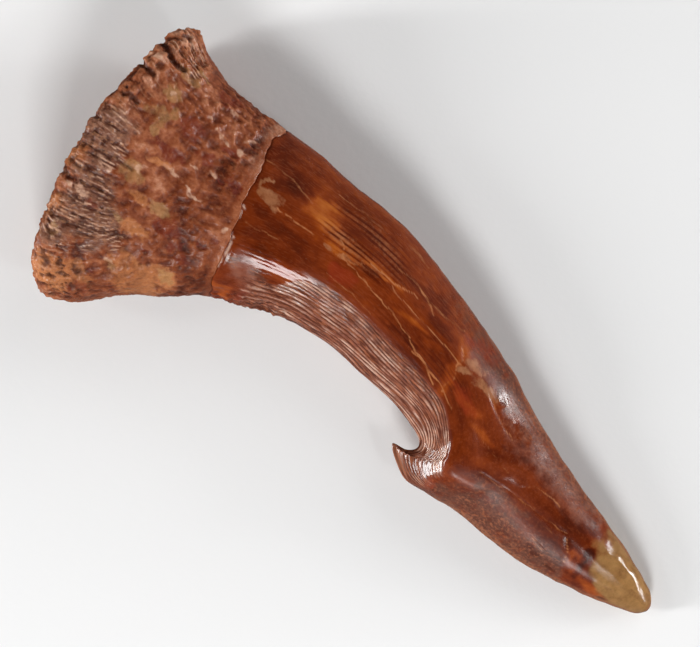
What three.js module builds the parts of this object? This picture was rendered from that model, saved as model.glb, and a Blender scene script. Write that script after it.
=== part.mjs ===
// Fossil sawfish rostral tooth, lying on its flatter side.
// Millimetres, +Z up.  +X runs from the flared root to the tip, -Y is the concave, barbed side.
// The surface is one closed skin: a column runs from the dished root end over the lip and along
// the tooth to the tip, and a row goes once round the section.

import * as THREE from 'three';
import { mergeVertices } from 'three/addons/utils/BufferGeometryUtils.js';

/** Columns round the section; every second one is the crest of a ridge. */
const COLUMNS = 104;

/** Distance from the enamel line, where the plan below is drawn, to the middle of the tooth. */
const CENTRE = new THREE.Vector2(12.73, -3.16);

/** Rounded lip of the root end, the hollow inside it, and where the hollow starts (0 middle, 1 rim). */
const LIP = 1.0;
const HOLLOW = 2.2;
const LIP_SHARE = 0.86;

/** Step from the root up to the enamel of the crown. */
const COLLAR_STEP = 0.16;

/** Share of the width, from the convex edge, at which the striated band begins. */
const BAND_START = 0.66;

/** Station of the enamel line, of the barb's point and of the tip. */
const COLLAR = 4;
const BARB = 15;
const TIP = 25;

/**
 * Plan of the tooth, one row per station from the root end to the tip: the point on the convex
 * edge, two handles of the row's Bezier curve, and the point on the concave edge.  A row without
 * handles is straight.  Round the notch the rows fan out and run onto the barb.
 */
const STATIONS = [
  [[-10.35, 6.75], [-11.35, 1.7], [-11.0, -9.2], [-6.4, -12.8]],
  [[-8.5, 5.98], [-9.6, 1.5], [-8.8, -8.2], [-4.85, -11.8]],
  [[-6.4, 5.5], [-7.2, 1.4], [-6.2, -6.7], [-3.0, -9.7]],
  [[-4.2, 5.55], [-4.6, 1.5], [-3.6, -4.9], [-0.75, -7.9]],
  [[-1.95, 5.72], [-1.3, 1.6], [0.2, -2.6], [1.4, -6.15]],
  [[1.0, 5.9], [3.35, -5.2]],
  [[4.2, 5.8], [5.4, -4.2]],
  [[7.2, 5.9], [7.7, -3.65]],
  [[10.2, 5.6], [10.2, -3.4]],
  [[13.2, 4.95], [12.8, -3.5]],
  [[16.0, 4.33], [15.4, -3.65]],
  [[18.0, 3.74], [17.3, -4.05]],
  [[19.2, 3.38], [18.6, 1.0], [19.3, -2.8], [18.25, -4.4]],
  [[20.1, 3.1], [19.8, 0.6], [20.6, -4.1], [18.5, -4.95]],
  [[20.9, 2.8], [21.0, 0.0], [21.2, -5.5], [18.0, -5.5]],
  [[21.7, 2.48], [22.1, -0.9], [21.6, -6.2], [17.05, -5.75]],
  [[22.6, 2.1], [22.9, -1.2], [21.9, -6.7], [18.1, -6.55]],
  [[23.6, 1.72], [23.9, -1.4], [22.6, -5.9], [19.4, -7.08]],
  [[24.8, 1.3], [24.9, -1.5], [23.5, -5.1], [21.2, -6.8]],
  [[26.5, 0.75], [23.8, -6.5]],
  [[28.8, 0.1], [27.2, -6.45]],
  [[31.2, -0.5], [30.4, -6.05]],
  [[33.8, -1.2], [33.4, -5.3]],
  [[35.9, -1.9], [35.85, -4.52]],
  [[37.0, -2.45], [37.0, -3.98]],
  [[37.45, -3.25], [37.45, -3.25]],
];

/** Half the thickness of the tooth and the height of its mid-plane at each station. */
const HALF_THICKNESS = [
  5.75, 5.45, 4.95, 4.45, 4.05, 3.85, 3.68, 3.52, 3.38, 3.25, 3.12, 3.0, 2.92,
  2.86, 2.8, 2.74, 2.68, 2.6, 2.5, 2.36, 2.16, 1.9, 1.55, 1.12, 0.72, 0,
];
const MID_HEIGHT = [
  5.4, 5.28, 5.1, 4.85, 4.6, 4.38, 4.15, 3.92, 3.7, 3.48, 3.28, 3.12, 3.04,
  2.97, 2.9, 2.84, 2.77, 2.69, 2.6, 2.44, 2.22, 1.94, 1.58, 1.2, 0.94, 0.82,
];

/** Stations that get a row of corners: close together on the root, the enamel line and the barb. */
const ROWS = [
  0, 0.4, 0.8, 1.2, 1.6, 2.1, 2.6, 3.1, 3.6, 3.92, 4.04, 4.5, 5.2, 6, 7, 8, 9, 10, 11,
  11.7, 12.3, 12.8, 13.3, 14, 14.5, 15, 15.5, 16, 16.5, 17, 18, 19, 20.3, 21.6, 22.8,
  23.8, 24.5, 24.85,
];

/** Size of each ring of the root end, as a share of the rim. */
const END_RINGS = [0.97, 0.92, 0.84, 0.7, 0.45, 0.2];

/**
 * Smooth step from 0 to 1.
 * @param {number} from  start of the step
 * @param {number} to    end of the step
 * @param {number} x     where it is read
 * @returns {number} value between 0 and 1
 */
function step(from, to, x) {
  return THREE.MathUtils.smoothstep(x, from, to);
}

/**
 * Catmull-Rom curve through equally spaced values.
 * @param {number[]} values  value at each station
 * @param {number} after     value just beyond the last station
 * @param {number} t         station, with fractions
 * @returns {number} interpolated value
 */
function spline(values, after, t) {
  const last = values.length - 1;
  const i = Math.min(Math.floor(t), last - 1);
  const f = t - i;
  const b = values[i];
  const c = values[i + 1];
  const a = i > 0 ? values[i - 1] : 2 * b - c;
  const d = i + 2 <= last ? values[i + 2] : after;
  return 0.5 * (2 * b + (c - a) * f + (2 * a - 5 * b + 4 * c - d) * f ** 2
    + (3 * b - a - 3 * c + d) * f ** 3);
}

/** Each row of the plan as four Bezier points. */
const BEZIER_ROWS = STATIONS.map((row) => {
  if (row.length === 4) return row;
  const [front, back] = row;
  const third = [(back[0] - front[0]) / 3, (back[1] - front[1]) / 3];
  return [
    front,
    [front[0] + third[0], front[1] + third[1]],
    [back[0] - third[0], back[1] - third[1]],
    back,
  ];
});

/**
 * Plan position on the mid-plane of the tooth.
 * @param {number} t  station, 0 at the root end to TIP
 * @param {number} w  share of the width, 0 on the convex edge to 1 on the concave edge
 * @returns {THREE.Vector2} position in mm from the enamel line
 */
function plan(t, w) {
  const weights = [(1 - w) ** 3, 3 * (1 - w) ** 2 * w, 3 * (1 - w) * w ** 2, w ** 3];
  const point = [0, 1].map((axis) => weights.reduce((sum, weight, k) => {
    const along = BEZIER_ROWS.map((row) => row[k][axis]);
    const mirrored = BEZIER_ROWS[TIP - 1][3 - k][axis];
    return sum + weight * spline(along, mirrored, t);
  }, 0));
  return new THREE.Vector2(...point);
}

/**
 * Section of the tooth: how much of the half thickness is left at a point of the width.  The root
 * is a flat-sided oval, and the crown a lens with a broad shoulder above its concave edge.
 * @param {number} t  station
 * @param {number} u  place across the width, -1 on the convex edge to 1 on the concave edge
 * @returns {number} share of the half thickness
 */
function section(t, u) {
  const crown = step(1.5, 5.5, t);
  const side = step(-0.25, 0.25, u);
  const fullness = THREE.MathUtils.lerp(3.0, THREE.MathUtils.lerp(2.0, 2.7, side), crown);
  const edge = THREE.MathUtils.lerp(0.5, THREE.MathUtils.lerp(0.66, 0.8, side), crown);
  const onBarb = Math.exp(-(((t - BARB - 0.3) / 2.1) ** 2)) * step(0.2, 0.75, u);
  return (1 - 0.52 * onBarb) * (1 - Math.min(1, Math.abs(u)) ** fullness) ** edge;
}

/**
 * Smooth skin without ridges.
 * @param {number} t      station
 * @param {number} angle  angle round the section: 0 convex edge, PI concave edge, top side first
 * @param {number} size   size of the ring, 1 on the tooth and less on the root end
 * @param {number} out    distance beyond the root end along the column
 * @returns {THREE.Vector3} position in mm
 */
function skin(t, angle, size = 1, out = 0) {
  const u = -Math.cos(angle);
  const w = 0.5 + 0.5 * u * size;
  const point = plan(t, w);
  if (out !== 0) {
    const flare = plan(0, w).sub(plan(0.5, w)).normalize();
    point.addScaledVector(flare, out);
  }
  const half = spline(HALF_THICKNESS, -HALF_THICKNESS[TIP - 1], t) * size;
  const height = Math.sign(Math.sin(angle)) * half * section(t, u);
  const mid = spline(MID_HEIGHT, MID_HEIGHT[TIP - 1], t);
  return new THREE.Vector3(point.x - CENTRE.x, point.y - CENTRE.y, mid + height);
}

/**
 * How far the root end stands beyond its rim: a rounded lip round a shallow hollow.
 * @param {number} size  size of the ring, 1 at the rim and 0 in the middle
 * @returns {number} distance in mm
 */
function endProfile(size) {
  if (size > LIP_SHARE) {
    const turn = (size - LIP_SHARE) / (1 - LIP_SHARE);
    return LIP * Math.sqrt(1 - turn ** 2);
  }
  return LIP - HOLLOW * (1 - (size / LIP_SHARE) ** 2);
}

/**
 * Relief that stands on the smooth skin, in mm along the outward normal: the root's pleats and
 * lumps, the step at the enamel line, and the striae and ledge of the band on the concave side.
 * @param {number} t       station, negative on the root end
 * @param {number} column  number of the column
 * @returns {number} height in mm
 */
function relief(t, column) {
  const angle = (2 * Math.PI * column) / COLUMNS;
  const w = 0.5 - 0.5 * Math.cos(angle);
  const crest = column % 2 === 0 ? 0.5 : -0.5;
  const onRoot = 1 - step(2.6, 3.8, t);
  const uneven = 1 + 0.4 * Math.sin(2.4 * column) + 0.35 * Math.sin(5.3 * column + 1.0);
  const pleats = 0.3 * (1 - step(0.4, 3.2, t)) * crest * uneven;
  const knuckles = 0.16 * Math.sin(13 * angle + 0.8 * Math.sin(2 * angle)) * (1 - step(0, 1.2, t));
  const lumps = 0.13 * Math.sin(9 * angle + 2.1 * t) * Math.sin(2.6 * t + 3 * Math.cos(angle));
  const pitted = Math.sin(11 * angle + 3 * t) * Math.sin(4.3 * t - 5 * angle);
  const pits = -0.3 * Math.max(0, pitted) ** 5;
  const collar = COLLAR_STEP * (step(COLLAR - 0.05, COLLAR + 0.02, t) - 1) * step(1.4, 3.9, t);
  const alongBand = step(4.6, 7, t) * (1 - step(16.5, 18.5, t));
  const inBand = step(BAND_START, BAND_START + 0.05, w) * (1 - step(0.985, 1, w));
  const striae = 0.09 * crest * alongBand * inBand;
  const ledge = -0.16 * step(8, 13, t) * (1 - step(15, 17, t)) * inBand;
  return pleats + knuckles + (lumps + pits) * onRoot + collar + striae + ledge;
}

/**
 * Builds the closed skin and puts the relief on it.
 * @returns {THREE.BufferGeometry} closed geometry with merged corners, facing outward
 */
function buildTooth() {
  const rings = [
    ...END_RINGS.slice().reverse().map((size) => ({ t: 0, size, out: endProfile(size) })),
    ...ROWS.map((t) => ({ t, size: 1, out: 0 })),
  ];
  const point = (ring, column) => {
    const { t, size, out } = rings[THREE.MathUtils.clamp(ring, 0, rings.length - 1)];
    return skin(t, (2 * Math.PI * column) / COLUMNS, size, out);
  };

  const positions = [];
  rings.forEach((ring, i) => {
    for (let column = 0; column < COLUMNS; column += 1) {
      const along = point(i + 1, column).sub(point(i - 1, column));
      const round = point(i, column + 1).sub(point(i, column - 1));
      const normal = round.cross(along).normalize();
      const corner = point(i, column);
      const worn = step(0, 0.5, corner.z);
      const inHollow = step(0.4, 1, ring.size);
      corner.addScaledVector(normal, relief(ring.t, column) * inHollow * worn);
      positions.push(corner.x, corner.y, Math.max(0, corner.z));
    }
  });
  const middle = skin(0, 0, 0, endProfile(0));
  const tip = skin(TIP, 0);
  positions.push(middle.x, middle.y, middle.z, tip.x, tip.y, tip.z);

  const faces = [];
  const corner = (ring, column) => ring * COLUMNS + (column % COLUMNS);
  for (let ring = 0; ring + 1 < rings.length; ring += 1) {
    for (let column = 0; column < COLUMNS; column += 1) {
      const a = corner(ring, column);
      const b = corner(ring, column + 1);
      const c = corner(ring + 1, column);
      const d = corner(ring + 1, column + 1);
      faces.push(a, b, c, b, d, c);
    }
  }
  const middleIndex = rings.length * COLUMNS;
  for (let column = 0; column < COLUMNS; column += 1) {
    faces.push(middleIndex, corner(0, column + 1), corner(0, column));
    faces.push(middleIndex + 1, corner(rings.length - 1, column), corner(rings.length - 1, column + 1));
  }

  const geometry = new THREE.BufferGeometry();
  geometry.setAttribute('position', new THREE.Float32BufferAttribute(positions, 3));
  geometry.setIndex(faces);
  const merged = mergeVertices(geometry, 1e-4);
  merged.computeVertexNormals();
  return merged;
}

const tooth = new THREE.Mesh(
  buildTooth(),
  new THREE.MeshStandardMaterial({
    name: 'fossil_tooth', color: 0x7a3a1c, roughness: 0.35, metalness: 0,
  }),
);
tooth.name = 'rostral_tooth';

const group = new THREE.Group();
group.name = 'fossil_sawfish_rostral_tooth';
group.add(tooth);

export default group;
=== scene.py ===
"""Fossil sawfish rostral tooth, lying on a pale studio floor.

The tooth is a closed skin worked out as whole arrays: a plan drawn as rows of Bezier curves, a
section across each row, and relief along the outward normal.  The enamel crown and the rough
root are two pieces of that one skin, which meet at the enamel line.  Lengths are in mm while a
shape is worked out, and in metres in the meshes.
"""

import logging
import math
from dataclasses import dataclass, field
from enum import Enum
from typing import Any

import bpy
import numpy as np
from mathutils import Matrix, Vector


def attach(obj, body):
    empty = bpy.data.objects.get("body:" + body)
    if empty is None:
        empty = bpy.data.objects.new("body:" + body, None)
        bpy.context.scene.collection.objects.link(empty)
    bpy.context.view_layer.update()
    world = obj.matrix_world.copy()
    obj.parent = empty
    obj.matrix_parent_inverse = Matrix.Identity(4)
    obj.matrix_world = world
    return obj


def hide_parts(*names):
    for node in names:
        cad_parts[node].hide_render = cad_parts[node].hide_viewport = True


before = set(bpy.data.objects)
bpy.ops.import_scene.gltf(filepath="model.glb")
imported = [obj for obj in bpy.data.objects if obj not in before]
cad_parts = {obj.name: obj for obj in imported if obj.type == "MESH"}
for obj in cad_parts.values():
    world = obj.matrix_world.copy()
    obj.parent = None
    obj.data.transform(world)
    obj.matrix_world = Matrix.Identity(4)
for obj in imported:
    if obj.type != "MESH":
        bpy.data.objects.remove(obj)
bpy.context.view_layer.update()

LOG = logging.getLogger("rostral_tooth")
NODE = "rostral_tooth"
MM = 0.001
TAU = 2.0 * math.pi

Point = tuple[float, float]
Oval = tuple[float, float, float, float]


class Grain(Enum):
    """Sizes in mm of the natural textures that the relief uses."""

    RIPPLE = 2.6
    LUMP = 1.5
    KNOB = 0.62
    CRUMB = 0.3


# ---------------------------------------------------------------------------------------------
# Small mathematics
# ---------------------------------------------------------------------------------------------


def linear(hex_colour: str) -> tuple[float, float, float, float]:
    """Turns an sRGB hex colour into linear RGBA.

    Args:
        hex_colour: colour such as "#8a5530".

    Returns:
        Linear red, green, blue and an alpha of 1.
    """
    parts = [int(hex_colour[k:k + 2], 16) / 255.0 for k in (1, 3, 5)]
    low_high = [(c / 12.92, ((c + 0.055) / 1.055) ** 2.4) for c in parts]
    red, green, blue = (lo if c <= 0.04045 else hi for c, (lo, hi) in zip(parts, low_high))
    return (red, green, blue, 1.0)


def step(low: Any, high: Any, x: Any) -> np.ndarray:
    """Smooth step: 3s^2 - 2s^3 of s, the share of the way from low to high, held in 0 to 1.

    Args:
        low: start of the step.
        high: end of the step.
        x: where it is read.

    Returns:
        Values from 0 to 1.
    """
    s = np.clip((x - low) / (high - low), 0.0, 1.0)
    return s * s * (3.0 - 2.0 * s)


def mix(a: Any, b: Any, share: Any) -> Any:
    """Goes in a straight line from a to b as share goes from 0 to 1."""
    return a + (b - a) * share


def scatter(cell: np.ndarray, seed: int) -> np.ndarray:
    """Fixed pseudo-random number for each whole-number cell, by mixing its bits.

    Args:
        cell: whole numbers with the three coordinates on the last axis.
        seed: chooses one of many such fields.

    Returns:
        Numbers from 0 to 1, one per cell.
    """
    c = cell.astype(np.int64)
    n = c[..., 0] * 374761393 + c[..., 1] * 668265263 + c[..., 2] * 974634777 + seed * 144665
    n = (n ^ (n >> 13)) * 1274126177 & 0xFFFFFFFF
    n = (n ^ (n >> 15)) * 2246822519 & 0xFFFFFFFF
    return ((n ^ (n >> 16)) & 0xFFFFFF) / float(0xFFFFFF)


def noise(points: np.ndarray, size: float, seed: int) -> np.ndarray:
    """Value noise: the scatter at the eight corners of a cell, blended by smooth steps.

    Args:
        points: positions in mm, coordinates on the last axis.
        size: width of a cell in mm.
        seed: chooses the field.

    Returns:
        Numbers from -1 to 1.
    """
    q = points / size + 17.3 * seed
    base = np.floor(q)
    f = q - base
    f = f * f * (3.0 - 2.0 * f)
    total = np.zeros(points.shape[:-1])
    for corner in np.ndindex(2, 2, 2):
        weight = np.prod(np.where(np.array(corner) == 1, f, 1.0 - f), axis=-1)
        total += weight * scatter(base + np.array(corner), seed)
    return 2.0 * total - 1.0


def rough(points: np.ndarray, size: float, seed: int, octaves: int = 3) -> np.ndarray:
    """Sum of noises, each half as large and 0.55 times as strong as the one before.

    Args:
        points: positions in mm.
        size: width of the largest cells in mm.
        seed: chooses the field.
        octaves: how many noises are summed.

    Returns:
        Numbers around 0, nearly all from -1 to 1.
    """
    total = np.zeros(points.shape[:-1])
    for k in range(octaves):
        total += 0.55 ** k * noise(points, size / 2 ** k, seed + k)
    return total


def pits(points: np.ndarray, size: float, seed: int, share: float) -> np.ndarray:
    """Round pits: 1 at a random point of some cells, falling to 0 at 0.42 of a cell from it.

    Args:
        points: positions in mm.
        size: width of a cell in mm.
        seed: chooses the field.
        share: share of the cells that hold a pit.

    Returns:
        Depth from 0 to 1.
    """
    q = points / size + 9.7 * seed
    base = np.floor(q)
    depth = np.zeros(points.shape[:-1])
    for offset in np.ndindex(3, 3, 3):
        cell = base + np.array(offset) - 1.0
        place = np.stack([scatter(cell, seed + k) for k in (1, 2, 3)], axis=-1)
        held = scatter(cell, seed + 4) < share
        width = 0.24 + 0.2 * scatter(cell, seed + 5)
        apart = np.linalg.norm(q - cell - place, axis=-1)
        depth = np.maximum(depth, held * (1.0 - step(0.35 * width, width, apart)))
    return depth


def stroke(x: np.ndarray, y: np.ndarray, path: tuple[Point, ...], width: float) -> np.ndarray:
    """Line with soft edges: 1 on a path of straight pieces, 0 from one width away from it.

    Args:
        x: plan positions in mm.
        y: plan positions in mm.
        path: points of the path in mm.
        width: distance in mm over which the line fades.

    Returns:
        Strength from 0 to 1.
    """
    nearest = np.full(np.broadcast(x, y).shape, 1e6)
    for (ax, ay), (bx, by) in zip(path[:-1], path[1:]):
        dx, dy = bx - ax, by - ay
        along = np.clip(((x - ax) * dx + (y - ay) * dy) / (dx * dx + dy * dy), 0.0, 1.0)
        nearest = np.minimum(nearest, np.hypot(x - ax - along * dx, y - ay - along * dy))
    return 1.0 - step(0.25 * width, width, nearest)


def blot(x: np.ndarray, y: np.ndarray, spot: Oval) -> np.ndarray:
    """Soft oval: 1 inside, fading to 0 at its edge.

    Args:
        x: plan positions in mm.
        y: plan positions in mm.
        spot: centre x, centre y, half length and half width in mm.

    Returns:
        Strength from 0 to 1.
    """
    cx, cy, rx, ry = spot
    return 1.0 - step(0.45, 1.0, np.hypot((x - cx) / rx, (y - cy) / ry))


def blots(x: np.ndarray, y: np.ndarray, spots: tuple[Oval, ...]) -> np.ndarray:
    """Gives the strongest of several soft ovals at each place."""
    return np.maximum.reduce([blot(x, y, spot) for spot in spots])


def strokes(x: np.ndarray, y: np.ndarray, paths: tuple[tuple[Point, ...], ...],
            width: float) -> np.ndarray:
    """Gives the strongest of several soft lines at each place."""
    return np.maximum.reduce([stroke(x, y, path, width) for path in paths])


def spline(values: np.ndarray, after: np.ndarray, t: np.ndarray) -> np.ndarray:
    """Catmull-Rom curve through values at 0, 1, 2 and so on.

    Args:
        values: one value, or one row of values, per station.
        after: the value just beyond the last station.
        t: stations, with fractions.

    Returns:
        Interpolated values, with t's shape first.
    """
    ends = np.concatenate([[2 * values[0] - values[1]], values, [after]])
    i = np.clip(np.floor(t).astype(int), 0, len(values) - 2)
    f = (t - i).reshape(t.shape + (1,) * (values.ndim - 1))
    a, b, c, d = (ends[i + k] for k in range(4))
    return 0.5 * (2 * b + (c - a) * f + (2 * a - 5 * b + 4 * c - d) * f ** 2
                  + (3 * b - a - 3 * c + d) * f ** 3)


# ---------------------------------------------------------------------------------------------
# The smooth skin of the tooth
# ---------------------------------------------------------------------------------------------


@dataclass(frozen=True)
class ToothSkin:
    """The tooth without relief, in mm: its plan, its section and the dished end of its root.

    Each station is a row across the plan: the point on the convex edge, two Bezier handles and
    the point on the concave edge.  A row of two points is straight.
    """

    collar: float = 4.0
    barb: float = 15.0
    tip: float = 25.0
    lip: float = 1.0
    lip_share: float = 0.86
    hollow: float = 2.2
    centre: Point = (12.73, -3.16)
    stations: tuple[tuple[Point, ...], ...] = (
        ((-10.35, 6.75), (-11.35, 1.7), (-11.0, -9.2), (-6.4, -12.8)),
        ((-8.5, 5.98), (-9.6, 1.5), (-8.8, -8.2), (-4.85, -11.8)),
        ((-6.4, 5.5), (-7.2, 1.4), (-6.2, -6.7), (-3.0, -9.7)),
        ((-4.2, 5.55), (-4.6, 1.5), (-3.6, -4.9), (-0.75, -7.9)),
        ((-1.95, 5.72), (-1.3, 1.6), (0.2, -2.6), (1.4, -6.15)),
        ((1.0, 5.9), (3.35, -5.2)),
        ((4.2, 5.8), (5.4, -4.2)),
        ((7.2, 5.9), (7.7, -3.65)),
        ((10.2, 5.6), (10.2, -3.4)),
        ((13.2, 4.95), (12.8, -3.5)),
        ((16.0, 4.33), (15.4, -3.65)),
        ((18.0, 3.74), (17.3, -4.05)),
        ((19.2, 3.38), (18.6, 1.0), (19.3, -2.8), (18.25, -4.4)),
        ((20.1, 3.1), (19.8, 0.6), (20.6, -4.1), (18.5, -4.95)),
        ((20.9, 2.8), (21.0, 0.0), (21.2, -5.5), (18.0, -5.5)),
        ((21.7, 2.48), (22.1, -0.9), (21.6, -6.2), (17.05, -5.75)),
        ((22.6, 2.1), (22.9, -1.2), (21.9, -6.7), (18.1, -6.55)),
        ((23.6, 1.72), (23.9, -1.4), (22.6, -5.9), (19.4, -7.08)),
        ((24.8, 1.3), (24.9, -1.5), (23.5, -5.1), (21.2, -6.8)),
        ((26.5, 0.75), (23.8, -6.5)),
        ((28.8, 0.1), (27.2, -6.45)),
        ((31.2, -0.5), (30.4, -6.05)),
        ((33.8, -1.2), (33.4, -5.3)),
        ((35.9, -1.9), (35.85, -4.52)),
        ((37.0, -2.45), (37.0, -3.98)),
        ((37.45, -3.25), (37.45, -3.25)),
    )
    half_thickness: tuple[float, ...] = (
        5.75, 5.45, 4.95, 4.45, 4.05, 3.85, 3.68, 3.52, 3.38, 3.25, 3.12, 3.0, 2.92,
        2.86, 2.8, 2.74, 2.68, 2.6, 2.5, 2.36, 2.16, 1.9, 1.55, 1.12, 0.72, 0.0,
    )
    mid_height: tuple[float, ...] = (
        5.4, 5.28, 5.1, 4.85, 4.6, 4.38, 4.15, 3.92, 3.7, 3.48, 3.28, 3.12, 3.04,
        2.97, 2.9, 2.84, 2.77, 2.69, 2.6, 2.44, 2.22, 1.94, 1.58, 1.2, 0.94, 0.82,
    )

    def rows(self) -> np.ndarray:
        """Gives each station's four Bezier points, the handles of a straight row at its thirds.

        Returns:
            Array of stations by four points by x and y.
        """
        table = []
        for row in self.stations:
            front, back = np.array(row[0]), np.array(row[-1])
            third = (back - front) / 3.0
            table.append(row if len(row) == 4 else (front, front + third, back - third, back))
        return np.array([[tuple(point) for point in row] for row in table])

    def plan(self, t: np.ndarray, w: np.ndarray) -> np.ndarray:
        """Bezier row at w, each of its points carried along t by a Catmull-Rom curve.

        Args:
            t: station, 0 at the root end to 25 at the tip.
            w: share of the width, 0 on the convex edge to 1 on the concave edge.

        Returns:
            Plan positions in mm from the enamel line.
        """
        rows = self.rows()
        weights = ((1 - w) ** 3, 3 * (1 - w) ** 2 * w, 3 * (1 - w) * w ** 2, w ** 3)
        return sum(weight[..., None] * spline(rows[:, k], rows[-2, 3 - k], t)
                   for k, weight in enumerate(weights))

    def section(self, t: np.ndarray, u: np.ndarray) -> np.ndarray:
        """Height of the section, (1 - |u|^fullness)^edge: an oval root and a lens-like crown.

        Args:
            t: station.
            u: place across the width, -1 on the convex edge to 1 on the concave edge.

        Returns:
            Share of the half thickness.
        """
        crown = step(1.5, 5.5, t)
        side = step(-0.25, 0.25, u)
        fullness = mix(3.0, mix(2.0, 2.7, side), crown)
        edge = mix(0.5, mix(0.66, 0.8, side), crown)
        on_barb = np.exp(-(((t - self.barb - 0.3) / 2.1) ** 2)) * step(0.2, 0.75, u)
        return (1 - 0.52 * on_barb) * (1 - np.minimum(1.0, np.abs(u)) ** fullness) ** edge

    def surface(self, t: np.ndarray, angle: np.ndarray, size: np.ndarray,
                out: np.ndarray) -> np.ndarray:
        """Plan position, and mid height plus or minus thickness times section.

        Args:
            t: station.
            angle: angle round the section, 0 convex edge, pi concave edge, top side first.
            size: size of the ring, 1 on the tooth and less on the root end.
            out: distance in mm beyond the rim, along the column.

        Returns:
            Positions in mm in the frame of the model.
        """
        u = -np.cos(angle)
        w = 0.5 + 0.5 * u * size
        flare = self.plan(0.0 * t, w) - self.plan(0.0 * t + 0.5, w)
        flare /= np.linalg.norm(flare, axis=-1, keepdims=True)
        flat = self.plan(t, w) + out[..., None] * flare - np.array(self.centre)
        half = spline(np.array(self.half_thickness), -self.half_thickness[-2], t) * size
        mid = spline(np.array(self.mid_height), self.mid_height[-2], t)
        height = mid + np.sign(np.sin(angle)) * half * self.section(t, u)
        return np.concatenate([flat, np.broadcast_to(height, flat.shape[:-1])[..., None]], -1)

    def end_profile(self, size: np.ndarray) -> np.ndarray:
        """Quarter round of the lip outside lip_share, and a parabola of the hollow inside it.

        Args:
            size: size of the ring, 1 at the rim and 0 in the middle.

        Returns:
            Distance in mm beyond the rim.
        """
        turn = np.clip((size - self.lip_share) / (1 - self.lip_share), 0.0, 1.0)
        bowl = 1 - np.minimum(1.0, size / self.lip_share) ** 2
        return self.lip * np.sqrt(1 - turn ** 2) - self.hollow * bowl


def normals(grid: np.ndarray) -> np.ndarray:
    """Outward normals: the cross product of the differences round and along the grid.

    Args:
        grid: rows of positions, closed round each row.

    Returns:
        Unit vectors.
    """
    round_row = np.roll(grid, -1, axis=1) - np.roll(grid, 1, axis=1)
    along = np.gradient(grid, axis=0)
    found = np.cross(round_row, along)
    return found / np.maximum(np.linalg.norm(found, axis=-1, keepdims=True), 1e-12)


@dataclass
class Patch:
    """One piece's grid: where each point is on the tooth, in several measures.

    The last coordinate of grain is height, and the first two are mm along and across the
    straightened tooth, so a pattern in grain follows the tooth's bend and fans out on the root.
    The underside reads x and y a little further along, so its marks aren't a copy of the top's.
    """

    skin: ToothSkin
    t: np.ndarray
    angle: np.ndarray
    size: np.ndarray
    underside_shift: float = 1.9
    root_spread: float = 1.3
    grid: np.ndarray = field(init=False)
    x: np.ndarray = field(init=False)
    y: np.ndarray = field(init=False)
    w: np.ndarray = field(init=False)
    top: np.ndarray = field(init=False)
    grain: np.ndarray = field(init=False)

    def __post_init__(self) -> None:
        """Works out the smooth positions and the measures that the relief and colours read."""
        skin = self.skin
        self.grid = skin.surface(self.t, self.angle, self.size, skin.end_profile(self.size))
        self.w = np.broadcast_to(0.5 - 0.5 * np.cos(self.angle), self.grid.shape[:-1])
        self.top = step(-0.25, 0.25, np.broadcast_to(np.sin(self.angle), self.w.shape))
        shift = self.underside_shift * (1 - self.top)
        self.x = self.grid[..., 0] + skin.centre[0] + shift
        self.y = self.grid[..., 1] + skin.centre[1] - 0.3 * shift
        stations = np.linspace(0.0, skin.tip, 501)
        middle = skin.plan(stations, 0.5 + 0 * stations)
        steps = np.linalg.norm(np.diff(middle, axis=0), axis=-1)
        length = np.concatenate([[0.0], np.cumsum(steps)])
        across = np.linalg.norm(skin.plan(stations, 0 * stations)
                                - skin.plan(stations, 0 * stations + 1.0), axis=-1)
        at_collar = np.interp(skin.collar, stations, across)
        across = np.where(stations < skin.collar, self.root_spread * at_collar, across)
        t = np.broadcast_to(self.t, self.w.shape)
        u = (self.w - 0.5) * np.broadcast_to(self.size, self.w.shape)
        self.grain = np.stack([np.interp(t, stations, length) - (1 - self.size),
                               u * np.interp(t, stations, across),
                               self.grid[..., 2]], axis=-1)


def even_rows(skin: ToothSkin, start: float, end: float, count: int) -> np.ndarray:
    """Spaces stations evenly by the mean length of the convex edge, middle and concave edge.

    Args:
        skin: the tooth.
        start: first station.
        end: last station.
        count: how many stations.

    Returns:
        Stations from start to end.
    """
    t = np.linspace(start, end, 2001)
    length = sum(np.concatenate([[0.0], np.cumsum(np.linalg.norm(
        np.diff(skin.plan(t, w + 0 * t), axis=0), axis=-1))]) for w in (0.0, 0.5, 1.0))
    return np.interp(np.linspace(0.0, length[-1], count), length, t)


def even_columns(count: int, dense_from: float, ratio: float) -> np.ndarray:
    """Spaces angles round the section, closer together by a ratio on the concave side.

    Args:
        count: how many angles.
        dense_from: share of the width where the columns start to lie closer.
        ratio: how much closer they lie.

    Returns:
        Angles from 0, below one full turn.
    """
    angle = np.linspace(0.0, TAU, 3601)
    density = 1 + (ratio - 1) * step(dense_from - 0.08, dense_from, 0.5 - 0.5 * np.cos(angle))
    total = np.concatenate([[0.0], np.cumsum(0.5 * (density[1:] + density[:-1]))])
    return np.interp(total[-1] * np.arange(count) / count, total, angle)


def enamel_line(skin: ToothSkin, angle: np.ndarray) -> np.ndarray:
    """Station of the enamel's edge: the collar, wandering by noise read round a circle."""
    circle = np.stack([4.0 * np.cos(angle), 4.0 * np.sin(angle), 0.0 * angle], axis=-1)
    return skin.collar + 0.1 * rough(circle, 1.3, 21, 3)


def smoothed(height: np.ndarray, reach: int) -> np.ndarray:
    """Mean of a grid over a square of cells, closed round the rows and held at their ends.

    Args:
        height: the grid.
        reach: cells on each side that count.

    Returns:
        The smoothed grid.
    """
    count = 2 * reach + 1
    wide = sum(np.roll(height, k, axis=1) for k in range(-reach, reach + 1)) / count
    held = np.pad(wide, ((reach, reach), (0, 0)), mode="edge")
    return sum(held[k:k + len(height)] for k in range(count)) / count


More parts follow.
